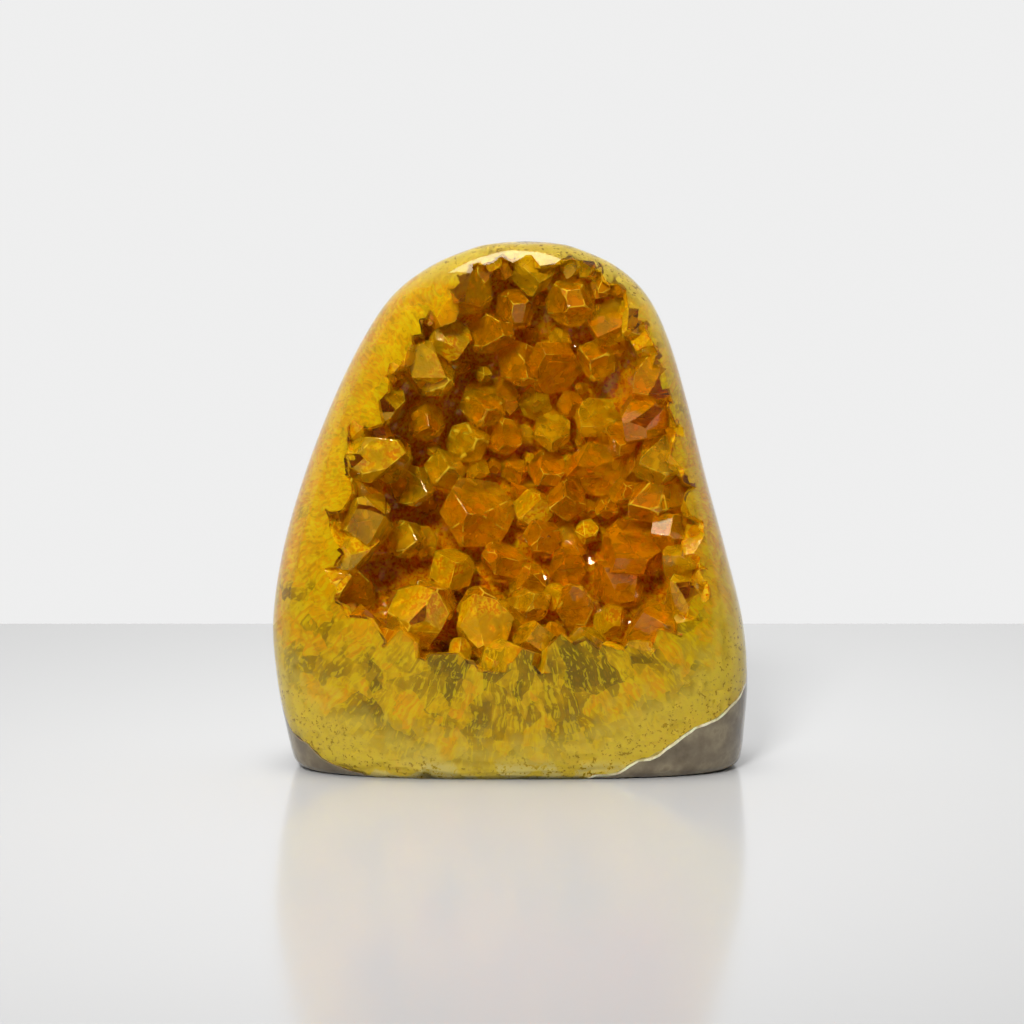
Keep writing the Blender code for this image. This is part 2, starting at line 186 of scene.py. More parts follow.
def quartz_extent(grown=0.0, seam=0.0):
    """The ellipsoid that the quartz fills, its surface wandering a little as the real edge does."""
    bm = bmesh.new()
    bmesh.ops.create_uvsphere(bm, u_segments=200, v_segments=100, radius=1.0)
    size = Matrix.Diagonal((*QUARTZ_REACH, 1.0))
    place = Matrix.Translation(QUARTZ_CENTRE) @ Matrix.Rotation(QUARTZ_LEAN, 4, "X")
    bmesh.ops.transform(bm, matrix=place @ size, verts=bm.verts)
    bmesh.ops.recalc_face_normals(bm, faces=bm.faces)
    bm.normal_update()
    for vert in bm.verts:
        stray = noise.noise(vert.co * 0.16) + 0.4 * noise.noise(vert.co * 0.4)
        stray += 0.2 * noise.noise(vert.co * 0.9)
        thick = seam * seam_share(vert.co)
        aside = corner_swell(vert.co)
        vert.co += vert.normal * (grown + thick + SEAM_WANDER * stray)
        vert.co.x += aside
    return bm


def shape(bm, slot=0):
    """The bmesh as an object still in millimetres, all its faces in one material slot."""
    for face in bm.faces:
        face.material_index = slot
    mesh = bpy.data.meshes.new("shape")
    bm.to_mesh(mesh)
    bm.free()
    obj = bpy.data.objects.new("shape", mesh)
    for _ in range(3):
        mesh.materials.append(None)
    bpy.context.scene.collection.objects.link(obj)
    return obj


def combine(obj, operation, other):
    """Unites, cuts or intersects two shapes; the second is used up."""
    boolean = obj.modifiers.new("combine", "BOOLEAN")
    boolean.operation, boolean.object, boolean.solver = operation, other, "MANIFOLD"
    bpy.context.view_layer.update()
    graph = bpy.context.evaluated_depsgraph_get()
    made = bpy.data.meshes.new_from_object(obj.evaluated_get(graph))
    obj.modifiers.clear()
    obj.data = made
    bpy.data.objects.remove(other)
    return obj


def finish_piece(obj, name, materials, sharp_above):
    """Brings a shape to its real size and place, and dresses it."""
    obj.name = obj.data.name = name
    obj.data.transform(Matrix.Scale(MM, 4) @ Matrix.Translation(-DESIGN_MIDDLE))
    obj.data.materials.clear()
    for material in materials:
        obj.data.materials.append(material)
    obj.data.shade_smooth()
    obj.data.set_sharp_from_angle(angle=math.radians(sharp_above))
    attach(obj, "root")
    return obj


class Finish:
    """A material being built: short calls for its nodes."""

    def __init__(self, name):
        self.material = bpy.data.materials.new(name)
        self.material.use_nodes = True
        self.tree = self.material.node_tree
        self.shader = self.tree.nodes["Principled BSDF"]

    def node(self, kind, inputs, output=0, **settings):
        """Adds a node; each input is a value or another node's output."""
        made = self.tree.nodes.new("ShaderNode" + kind)
        for name, setting in settings.items():
            setattr(made, name, setting)
        for name, value in inputs.items():
            self.set(made.inputs[name], value)
        return made.outputs[output]

    def set(self, socket, value):
        if isinstance(value, bpy.types.NodeSocket):
            self.tree.links.new(value, socket)
        else:
            socket.default_value = value

    def surface(self, **inputs):
        for name, value in inputs.items():
            self.set(self.shader.inputs[name.replace("_", " ")], value)

    def places(self):
        """Object coordinates in millimetres, round the axis that the sections are drawn on."""
        here = self.node("TexCoord", {}, "Object")
        scale = (1 / MM,) * 3
        return self.node("Mapping", {"Vector": here, "Location": DESIGN_MIDDLE, "Scale": scale})

    def noise(self, place, size, detail, roughness=0.5, output="Fac"):
        """Noise whose features are about that many millimetres across."""
        inputs = {"Vector": place, "Scale": 1 / size, "Detail": detail, "Roughness": roughness}
        return self.node("TexNoise", inputs, output)

    def math(self, operation, first, second=0.0, clamp=False):
        return self.node("Math", {0: first, 1: second}, operation=operation, use_clamp=clamp)

    def vector(self, operation, first, second=(0, 0, 0), output=0):
        return self.node("VectorMath", {0: first, 1: second}, output, operation=operation)

    def range(self, value, low, high, new_low=0.0, new_high=1.0):
        inputs = {"Value": value, "From Min": low, "From Max": high}
        inputs.update({"To Min": new_low, "To Max": new_high})
        return self.node("MapRange", inputs, interpolation_type="SMOOTHSTEP")

    def blend(self, share, first, second):
        return self.node("Mix", {0: share, 6: first, 7: second}, 2, data_type="RGBA")

    def ramp(self, value, stops):
        made = self.tree.nodes.new("ShaderNodeValToRGB")
        self.set(made.inputs[0], value)
        points = made.color_ramp.elements
        while len(points) < len(stops):
            points.new(1.0)
        for point, (place, colour) in zip(points, stops):
            point.position, point.color = place, colour
        return made.outputs[0]

    def bump(self, height, depth, strength=1.0):
        """A bump of that many millimetres."""
        inputs = {"Height": height, "Distance": depth * MM, "Strength": strength}
        return self.node("Bump", inputs)


def colour(red, green, blue):
    """A colour as a screen shows it, 0 to 255, in the values that light is reckoned in."""
    return (*((part / 255) ** 2.2 for part in (red, green, blue)), 1.0)


def host_rock():
    """Grey agate-like rock: mottled and glossy where it is polished, dull and rough at the back."""
    rock = Finish("host_rock")
    place = rock.places()
    mottle = rock.noise(place, 5.0, 4, 0.55)
    polished = rock.ramp(mottle, (
        (0.30, colour(90, 79, 62)),
        (0.48, colour(112, 100, 80)),
        (0.62, colour(134, 121, 96)),
        (0.75, colour(98, 86, 68)),
    ))
    skin = rock.ramp(rock.noise(place, 2.2, 8, 0.7), (
        (0.30, colour(58, 52, 46)),
        (0.50, colour(98, 90, 78)),
        (0.64, colour(132, 124, 106)),
        (0.78, colour(88, 92, 76)),
    ))
    deep = rock.node("SeparateXYZ", {"Vector": place}, "Y")
    rough = rock.range(deep, SKIN_STARTS, SKIN_STARTS + 5)
    grain = rock.noise(place, 0.7, 6, 0.65)
    rock.surface(
        Base_Color=rock.blend(rough, polished, skin),
        Roughness=rock.range(rough, 0, 1, 0.12, 0.78),
        Normal=rock.bump(rock.math("MULTIPLY", grain, rough), 0.5),
    )
    return rock.material


rind = shape(stone_form(240, 12, OVERLAP / 2))
combine(rind, "DIFFERENCE", shape(quartz_extent(-OVERLAP, SEAM_THICKNESS)))
finish_piece(rind, "host_rock_shell", [host_rock()], 40)
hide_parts("rock_rind")


# Chalcedony seam
# The thin white line between the grey rock and the quartz: a skin of chalcedony that lined the
# cavity before the quartz grew. It is cut and polished flush with both.


def chalcedony():
    seam = Finish("chalcedony")
    place = seam.places()
    cream = seam.ramp(seam.noise(place, 1.6, 5, 0.65), (
        (0.35, colour(196, 180, 128)),
        (0.55, colour(242, 234, 196)),
    ))
    across = seam.node("SeparateXYZ", {"Vector": place}, "X")
    tint = seam.blend(seam.range(across, -22.0, 8.0), colour(150, 128, 92), cream)
    seam.surface(Base_Color=tint, Roughness=0.15, Subsurface_Weight=0.3)
    seam.shader.inputs["Subsurface Scale"].default_value = 0.5 * MM
    return seam.material


seam = shape(stone_form(160, 8))
combine(seam, "INTERSECT", shape(quartz_extent(0.0, SEAM_THICKNESS)))
combine(seam, "DIFFERENCE", shape(quartz_extent(-OVERLAP)))
finish_piece(seam, "chalcedony_seam", [chalcedony()], 40)


# Quartz band
# The cloudy quartz that the crystals grew from, in columns that all run to the hollow. It lies a
# little under the polish, seen through clear quartz, and also fills the crystals round the mouth
# that were ground off with the face. Its inside, at the hollow, is amber.

# The hollow, as level sections: height, reach to the left and right, where the section is
# widest from front to back, and its reach in front of and behind that.
HOLLOW_LEVELS = (
    (21.4, 12.0, 16.0, -18.8, 10.0, 4.2),
    (24.0, 21.0, 25.5, -18.4, 12.0, 8.6),
    (28.5, 28.5, 32.5, -18.0, 13.0, 13.4),
    (34.5, 32.8, 36.0, -17.5, 14.0, 17.6),
    (42.5, 34.2, 36.4, -17.0, 14.0, 20.6),
    (52.0, 33.4, 34.8, -16.5, 14.0, 22.2),
    (62.0, 30.4, 32.6, -15.5, 14.0, 21.8),
    (71.0, 25.6, 30.2, -14.0, 14.0, 19.8),
    (79.0, 20.6, 27.6, -12.0, 14.0, 16.6),
    (86.0, 16.2, 24.2, -9.6, 13.0, 12.4),
    (91.6, 12.2, 20.0, -7.4, 12.0, 8.6),
    (95.8, 8.2, 14.6, -5.8, 10.0, 4.4),
)
HOLLOW_FOOT = Vector((2.6, -20.0, 20.2))  # its lowest and highest points and its middle
HOLLOW_TOP = Vector((3.8, -4.4, 97.8))
HOLLOW_MIDDLE = Vector((1.5, -14.0, 55.0))
HOLLOW_ROUNDNESS = 2.2
HOLLOW_POINTS = 22  # round each section of the surface that the crystals are rooted in

UNEVEN = 1.5  # how far the hollow's surface strays from the smooth form
MOUTH_ZONE = 6.0  # the wall is bright and grainy this far in from the polished face

EDGE_MARGIN = 0.5  # no crystal is rooted nearer the polished face than this
VIEW_FALL = math.radians(8)  # the crystals' places are read from in front, looking down this much
ROOT = 2.4  # how deep a crystal is rooted in what it grows from
ROOT_SHARE = 0.72  # how wide its root is, as a share of its full width
SHAFT_RANGE = (0.34, 0.66)  # a shaft's height for each millimetre of its width
TIP_RISE = 0.56  # a tip's height, TIP_SKEW how far it's off the middle, and SHOULDER_STEP how
TIP_SKEW = 0.13  # uneven its six faces start, all for each millimetre of width
SHOULDER_STEP = 0.10
FORWARD = 0.75  # how strongly crystals turn towards the hollow's mouth
TIP_AHEAD = 0.6  # a large crystal's place is that of its tip, this many widths from its root
MOUTH = -20.0  # the plane that the large crystals' places are read in
FILL_CLASSES = ((260, 6.6, 8.6), (300, 4.8, 6.2))  # places tried, least and greatest width
SMALL_CLASSES = ((400, 3.4, 4.8), (500, 2.4, 3.4))
MOUTH_TALL = 1.25  # the mouth's height as a share of its width
EDGE_STEPS = 150  # places tried along the mouth for small crystals just inside it
EDGE_BEHIND = (0.5, 4.5)  # how far behind the polished face they're rooted
EDGE_WIDTHS = (1.8, 5.0)
EDGE_SPREAD = 16  # how unevenly they lean, in degrees
EDGE_CLOSEST = 0.24
TEETH_WIDTHS = (3.6, 8.6)  # the crystals that stand round the mouth and are polished off
TEETH_WIDER_BELOW = 3.2  # how much wider they are at the mouth's foot
TEETH_SPACING = 0.58  # from one to the next, for each millimetre of width
TEETH_REACH = 36.0  # the mouth's reach, for telling that spacing as an angle
TEETH_SKIN = 0.35  # the clear quartz over their cloudy cores
TIP_CLEAR = 0.8  # every tip stays this far behind the polished face
SINK_STEP = 0.5  # a crystal that would stand out further is rooted deeper, in such steps
SINK_STEPS = 30
FILL_SPREAD = 12  # how unevenly the smaller crystals lean, in degrees
HIDES = 0.4  # no crystal's tip stands nearer than this many widths to a much larger one's
MUCH_LARGER = 1.4
CLOSEST = 0.32  # two crystals' roots are at least this share of their joint width apart
LARGE_APART = 0.2  # and this much more than that share of a large one's own width
EDGE_ROUNDING = 0.032  # how rounded a crystal's edges are, as a share of its width
EDGE_MARK = 2.0  # what a worn edge's shade is raised by
APOTHEM = math.cos(math.pi / 6)  # a hexagon's reach across its sides, for a radius of 1
LESSER_FACES = 0.16  # every second face of a tip stands off this far, as a share of the width
SKEW_MORE = 1.6  # the faces meet this many times as far off the middle as TIP_SKEW says

# A crystal's shade: rusty and clear, plain orange, clear and olive, or golden and grainy.
RUSTY, PLAIN, OLIVE, GOLDEN = 0.12, 0.4, 0.65, 0.92

# The large crystals, placed as seen from in front: across, up, width, leaning to the right and
# upwards in degrees, the turn about their own axis, and their shade.
LARGE_CRYSTALS = (
    (-6.1, 52.4, 15.4, -3, 2, 30, PLAIN),
    (22.0, 45.6, 13.4, -12, 10, 34, RUSTY),
    (-26.3, 38.8, 15.5, 14, 12, 5, PLAIN),
    (-14.3, 34.8, 10.0, 16, 10, 40, PLAIN),
    (-19.1, 27.9, 12.4, 10, 16, 22, GOLDEN),
    (-4.8, 25.2, 11.0, -6, 18, 48, GOLDEN),
    (4.1, 24.3, 9.5, 4, 16, 12, OLIVE),
    (23.8, 31.5, 12.0, -10, 12, 15, PLAIN),
    (32.7, 32.5, 10.0, -16, 10, 30, OLIVE),
    (-7.5, 91.0, 11.5, 2, -14, 0, PLAIN),
    (10.4, 90.4, 10.5, -8, -10, 24, PLAIN),
    (17.5, 86.8, 9.5, -14, -6, 50, PLAIN),
    (7.7, 79.3, 11.6, 2, 6, 30, RUSTY),
    (-3.9, 85.0, 9.5, 6, -8, 14, RUSTY),
    (-4.8, 73.0, 10.4, 8, 10, 38, PLAIN),
    (1.4, 80.4, 9.0, 12, -6, 8, RUSTY),
    (22.9, 75.7, 12.0, -20, 2, 20, PLAIN),
    (23.8, 69.4, 11.0, -18, 6, 44, PLAIN),
    (26.4, 61.3, 10.4, -14, 4, 6, OLIVE),
    (-29.8, 61.3, 10.2, 16, 2, 26, GOLDEN),
    (-22.7, 62.2, 10.8, 12, 4, 52, OLIVE),
    (-27.1, 56.0, 8.6, 14, -4, 35, PLAIN),
    (-19.1, 56.8, 8.6, 14, -6, 18, OLIVE),
    (-26.3, 49.6, 12.0, 14, 4, 42, OLIVE),
    (15.7, 59.5, 12.0, -10, -4, 12, PLAIN),
    (6.8, 60.4, 8.4, -4, 10, 32, RUSTY),
    (7.7, 67.6, 7.8, 4, -10, 56, OLIVE),
    (10.4, 54.0, 8.2, 8, 12, 2, RUSTY),
    (-1.3, 43.3, 9.4, 8, 10, 28, PLAIN),
    (-11.1, 41.0, 9.4, 8, 8, 46, GOLDEN),
    (-20.0, 46.2, 8.0, 16, -6, 16, OLIVE),
    (5.9, 47.2, 7.8, 2, 14, 27, RUSTY),
    (10.4, 41.0, 8.2, -4, 8, 36, RUSTY),
    (19.3, 38.0, 9.6, -14, 14, 54, RUSTY),
    (31.8, 46.9, 9.6, -16, 4, 24, PLAIN),
    (13.9, 27.5, 8.0, -10, 20, 9, OLIVE),
    (-14.6, 77.5, 9.0, 18, 6, 33, OLIVE),
    (-14.6, 86.0, 8.6, 14, -8, 58, GOLDEN),
    (-19.4, 81.0, 8.6, 20, -4, 21, GOLDEN),
    (-21.8, 71.2, 9.2, 16, 6, 49, OLIVE),
    (-15.4, 68.4, 8.4, 8, -6, 3, PLAIN),
    (-8.4, 65.4, 8.8, 4, 6, 39, OLIVE),
    (-1.6, 66.6, 7.8, -6, -6, 11, RUSTY),
    (-12.9, 60.0, 8.4, 8, 10, 19, OLIVE),
    (3.6, 35.6, 8.6, 6, 16, 45, OLIVE),
    (-6.6, 33.2, 8.4, 4, 12, 19, PLAIN),
    (11.6, 34.0, 7.8, -4, 14, 37, RUSTY),
    (15.6, 80.6, 8.6, -8, 2, 53, PLAIN),
    (15.4, 70.0, 8.8, -10, 4, 31, OLIVE),
    (30.4, 53.8, 9.4, -18, -2, 13, PLAIN),
    (-31.0, 50.0, 8.8, 18, 2, 44, GOLDEN),
    (-33.0, 42.0, 8.6, 20, 4, 8, GOLDEN),
    (33.4, 40.0, 8.8, -18, 6, 41, OLIVE),
    (25.6, 53.4, 8.6, -12, 8, 29, PLAIN),
)


def hollow_form(points, steps, grown=0.0, uneven=0.0):
    """The hollow as a solid, grown by that much, its surface straying up to uneven."""
    levels = with_steps(HOLLOW_LEVELS, steps)
    bm = body_through(levels, HOLLOW_FOOT, HOLLOW_TOP, points, *(HOLLOW_ROUNDNESS,) * 2)
    bm.normal_update()
    moves = []
    for vert in bm.verts:
        stray = noise.noise(vert.co * 0.22) + 0.6 * noise.noise(vert.co * 0.6)
        moves.append((vert, vert.normal * (grown + uneven * stray)))
    for vert, move in moves:
        vert.co += move
    return bm


def mark_wall(bm):
    """Gives the hollow's wall its UV map: v is 1 deep inside and nearly 2 at the mouth."""
    zone = bm.loops.layers.uv.new("zone")
    for face in bm.faces:
        for loop in face.loops:
            place = loop.vert.co
            front = front_of_stone(place.x, place.z)
            deep = 0.0 if front is None else (place.y - front) / MOUTH_ZONE
            loop[zone].uv = (0.0, 1.0 + 0.9 * max(0.0, 1.0 - max(0.0, deep)))
    return bm


class Crystal:
    """A six-sided crystal: where it is rooted, which way it points, and its size."""

    def __init__(self, root, axis, width, turn, rng):
        self.root, self.axis, self.width, self.turn = root, axis, width, turn
        self.shaft = width * rng.uniform(*SHAFT_RANGE)
        self.skew = Vector((rng.uniform(-1, 1), rng.uniform(-1, 1), 0)) * width * TIP_SKEW
        self.steps = [rng.uniform(-1, 1) * width * SHOULDER_STEP for _ in range(6)]
        self.shade = (turn * 7.31 + width * 3.7) % 1.0

    def sink(self):
        """Roots the crystal deeper until its tip stays behind the polished face."""
        for _ in range(SINK_STEPS):
            tip = self.tip()
            front = front_of_stone(tip.x, tip.z)
            if front is not None and tip.y > front + TIP_CLEAR:
                return
            self.root -= self.axis * SINK_STEP

    def tip(self):
        return self.root + self.axis * (self.shaft + TIP_RISE * self.width)

    def hides(self, other):
        """Whether this crystal stands before a much larger one, seen from in front."""
        aside = self.tip() - other.tip()
        larger = other.width > MUCH_LARGER * self.width
        return larger and math.hypot(aside.x, aside.z) < HIDES * other.width

    def middle(self):
        return self.root + self.axis * (self.shaft + TIP_RISE * self.width - ROOT) / 2

    def reach(self):
        return math.hypot(self.width / 2, (self.shaft + (TIP_RISE + 0.1) * self.width + ROOT) / 2)

    def body(self, grown=0.0):
        """A shaft that widens upwards, cut to a tip of three broad faces and three lesser ones.

        The UV map "zone" gives each point its height along the crystal, and the crystal's own
        shade, with EDGE_MARK added on the worn edges.
        """
        bm = bmesh.new()
        radius = self.width / 2 + grown
        length = ROOT + self.shaft
        rise = TIP_RISE * self.width + grown
        made = bmesh.ops.create_cone(
            bm, cap_ends=True, segments=6, radius1=ROOT_SHARE * radius, radius2=radius, depth=length
        )
        bmesh.ops.translate(bm, vec=(0, 0, length / 2 - ROOT), verts=made["verts"])
        shoulder = [vert for vert in made["verts"] if vert.co.z > 0]
        cap = next(f for f in shoulder[0].link_faces if all(v in f.verts for v in shoulder))
        raised = bmesh.ops.extrude_face_region(bm, geom=[cap])["geom"]
        raised = [item for item in raised if isinstance(item, bmesh.types.BMVert)]
        bmesh.ops.translate(bm, vec=(0, 0, 2 * rise), verts=raised)
        bmesh.ops.delete(bm, geom=[cap], context="FACES_ONLY")
        for number, step in enumerate(self.steps):
            turn = math.pi * (number / 3 + 1 / 6)
            outwards = Vector((rise * math.cos(turn), rise * math.sin(turn), APOTHEM * radius))
            lift = step + (LESSER_FACES * self.width if number % 2 else 0.0)
            peak = Vector((0, 0, self.shaft + rise + lift)) + SKEW_MORE * self.skew
            geom = [*bm.verts, *bm.edges, *bm.faces]
            cut = bmesh.ops.bisect_plane(
                bm, geom=geom, dist=1e-5, plane_co=peak, plane_no=outwards, clear_outer=True
            )
            rim = [item for item in cut["geom_cut"] if isinstance(item, bmesh.types.BMEdge)]
            if rim:
                bmesh.ops.contextual_create(bm, geom=rim)
        bmesh.ops.recalc_face_normals(bm, faces=bm.faces)
        worn = bmesh.ops.bevel(
            bm,
            geom=bm.edges[:],
            offset=EDGE_ROUNDING * self.width,
            segments=2,
            profile=0.5,
            affect="EDGES",
            material=-1,
            clamp_overlap=True,
        )
        worn = set(worn["faces"])
        zone = bm.loops.layers.uv.new("zone")
        top = self.shaft + TIP_RISE * self.width
        for face in bm.faces:
            shade = self.shade + (EDGE_MARK if face in worn else 0.0)
            for loop in face.loops:
                loop[zone].uv = ((loop.vert.co.z + ROOT) / (top + ROOT), shade)
        turned = Matrix.Rotation(self.turn, 4, "Z")
        aimed = self.axis.to_track_quat("Z", "Y").to_matrix().to_4x4()
        bmesh.ops.transform(bm, matrix=Matrix.Translation(self.root) @ aimed @ turned, verts=bm.verts)
        return bm


class Hollow:
    """The hollow's surface, for finding where crystals are rooted."""

    def __init__(self):
        bm = hollow_form(HOLLOW_POINTS, 1)
        self.surface = BVHTree.FromBMesh(bm)
        bm.free()

    def seen_at(self, across, up):
        """The point of the surface seen at that place from in front."""
        sight = Vector((0, math.cos(VIEW_FALL), -math.sin(VIEW_FALL)))
        start = Vector((across, MOUTH, up)) + MOUTH * sight
        return self.last_hit(start, sight)

    def towards(self, direction):
        return self.last_hit(HOLLOW_MIDDLE, direction)

    def last_hit(self, start, direction):
        """Where the line leaves the hollow, and the direction into the hollow there."""
        found = None
        while True:
            point, normal, _, _ = self.surface.ray_cast(start, direction)
            if point is None:
                return found
            found = (point, normal if normal.dot(direction) < 0 else -normal)
            start = point + 0.01 * direction


def front_of_stone(across, up):
    """How far forward the polished face is at that place, or None outside the stone."""
    for lower, upper in zip(STONE_LEVELS, STONE_LEVELS[1:]):
        if lower[0] <= up < upper[0]:
            share = (up - lower[0]) / (upper[0] - lower[0])
            _, left, right, front, _ = (a + (b - a) * share for a, b in zip(lower, upper))
            offset = abs(across - (right - left) / 2) / ((left + right) / 2)
            if offset < 1:
                return -front * (1 - offset**ROUNDNESS_FRONT) ** (1 / ROUNDNESS_FRONT)
    return None


def growth_axis(inwards, lean_right, lean_up):
    """Crystals grow into the hollow, and towards the light at its mouth."""
    axis = inwards + Vector((0, -FORWARD, 0))
    axis.rotate(Euler((math.radians(-lean_up), 0, math.radians(lean_right))))
    return axis.normalized()


def large_crystals(hollow, rng):
    for across, up, width, lean_right, lean_up, turn, shade in LARGE_CRYSTALS:
        seen = hollow.seen_at(across, up)
        if seen is None:
            continue
        axis = growth_axis(seen[1], lean_right, lean_up)
        aside = axis * TIP_AHEAD * width
        root, _ = hollow.seen_at(across - aside.x, up - aside.z) or seen
        crystal = Crystal(root, axis, width, math.radians(turn), rng)
        crystal.shade = shade
        yield crystal


def crowded(root, width, other):
    """Whether a crystal there would be rooted too near another one, or inside a large one."""
    least = max(CLOSEST * width, LARGE_APART * other.width) + CLOSEST * other.width
    return (root - other.root).length < least


def fill_crystals(hollow, grown, classes, rng):
    """Smaller crystals, wherever the ones before leave room on the hollow's surface."""
    for tries, least, most in classes:
        for _ in range(tries):
            direction = Vector((rng.gauss(0, 1), rng.gauss(0, 1), rng.gauss(0, 1)))
            root, inwards = hollow.towards(direction)
            width = rng.uniform(least, most)
            front = front_of_stone(root.x, root.z)
            if front is None or root.y < front + EDGE_MARGIN:
                continue
            if any(crowded(root, width, c) for c in grown):
                continue
            leans = (rng.gauss(0, FILL_SPREAD), rng.gauss(0, FILL_SPREAD))
            axis = growth_axis(inwards, *leans)
            crystal = Crystal(root, axis, width, rng.uniform(0, math.pi / 3), rng)
            if not any(crystal.hides(c) for c in grown):
                grown.append(crystal)


def mouth_edge(turn, behind):
    """Where the hollow meets the polished face in that direction, or a little behind it."""
    outwards = Vector((math.cos(turn), 0, MOUTH_TALL * math.sin(turn))).normalized()
    for step in range(40):
        middle = Vector((HOLLOW_MIDDLE.x, MOUTH - 1 + step / 2, HOLLOW_MIDDLE.z + 1))
        hit = hollow.last_hit(middle, outwards)
        front = front_of_stone(hit[0].x, hit[0].z) if hit else None
        if front is not None and hit[0].y > front + behind:
            return hit[0], hit[1], outwards
    return None


def edge_crystals(grown, rng):
    """Small crystals standing all along the hollow's mouth."""
    for step in range(EDGE_STEPS):
        turn = math.tau * (step + rng.uniform(-0.3, 0.3)) / EDGE_STEPS
        found = mouth_edge(turn, rng.uniform(*EDGE_BEHIND))
        width = rng.uniform(*EDGE_WIDTHS)
        if found is None:
            continue
        root, inwards, _ = found
        if any((root - c.root).length < EDGE_CLOSEST * (width + c.width) for c in grown):
            continue
        axis = growth_axis(inwards, rng.gauss(0, EDGE_SPREAD), rng.gauss(0, EDGE_SPREAD))
        crystal = Crystal(root, axis, width, rng.uniform(0, math.pi / 3), rng)
        if not any(crystal.hides(c) for c in grown):
            grown.append(crystal)


def mouth_crystals(rng):
    """Crystals all round the mouth, largest at its foot, that are polished off with the face."""
    made = []
    turn = 0.0
    while turn < math.tau:
        low = max(0.0, -math.sin(turn))
        width = rng.uniform(*TEETH_WIDTHS) + TEETH_WIDER_BELOW * low
        found = mouth_edge(turn, 0.0)
        turn += TEETH_SPACING * width / TEETH_REACH
        if found is None:
            continue
        edge, _, outwards = found
        behind = Vector((0, width * rng.uniform(0.2, 0.8), 0))
        root = edge + outwards * width * rng.uniform(0.1, 0.42) + behind
        axis = Vector((rng.gauss(0, 0.25), rng.uniform(-1.3, -0.6), rng.gauss(0, 0.25)))
        axis -= outwards * rng.uniform(0.1, 0.7)
        tooth = Crystal(root, axis.normalized(), width, rng.uniform(0, math.pi / 3), rng)
        tooth.shade = rng.uniform(0.7, 0.999)
        made.append(tooth)
    return made


def united(crystals, grown=0.0):
    """The crystals as one solid: sets that don't touch each other, united one after another."""
    sets = []
    for crystal in sorted(crystals, key=lambda c: -c.width):
        for others in sets:
            if all((crystal.middle() - o.middle()).length > crystal.reach() + o.reach() for o in others):
                others.append(crystal)
                break
        else:
            sets.append([crystal])
    whole = None
    for others in sets:
        group = bmesh.new()
        for crystal in others:
            bm = crystal.body(grown)
            mesh = bpy.data.meshes.new("crystal")
            bm.to_mesh(mesh)
            bm.free()
            group.from_mesh(mesh)
            bpy.data.meshes.remove(mesh)
        made = shape(group)
        whole = combine(whole, "UNION", made) if whole else made
    return whole


CORE_UNDER = 0.3  # how far the cloudy quartz lies under the polish where it is nearest
CORE_SWELLS = 1.6  # and how much deeper in the clearer places
CORE_BEHIND = 0.35  # how far it lies behind the hollow's surface
COLUMN_REACH = 40.0  # the distance from the hollow's middle where the columns are as wide as drawn
COLUMN_STRETCH = 1.7  # how long the columns and the fibres in them are, for their width
FIBRE_STRETCH = 9.0
COLUMN_WIDTH = 5.4
COLUMN_BEND = 2.5  # how far they stray from straight
SPLINTER_WIDTH = 2.5  # the smaller pieces that the columns show


def cloudy_core():
    """The stone's form sunk unevenly under the polish, for the clear quartz to cover."""
    bm = stone_form(200, 12)
    bm.normal_update()
    moves = []
    for vert in bm.verts:
        swell = abs(noise.fractal(vert.co * 0.28, 0.8, 2.0, 4))
        moves.append((vert, vert.normal * (CORE_UNDER + CORE_SWELLS * swell)))
    for vert, move in moves:
        vert.co -= move
    return bm


def along_columns(stone, out, stretch):
    """Coordinates in which the columns, which all run to the hollow, are drawn shorter."""
    radius = stone.vector("LENGTH", out, output="Value")
    pressed = stone.math("DIVIDE", stone.math("SUBTRACT", radius, COLUMN_REACH), stretch)
    size = stone.math("DIVIDE", stone.math("ADD", pressed, COLUMN_REACH), radius)
    return stone.node("VectorMath", {0: out, "Scale": size}, operation="SCALE")


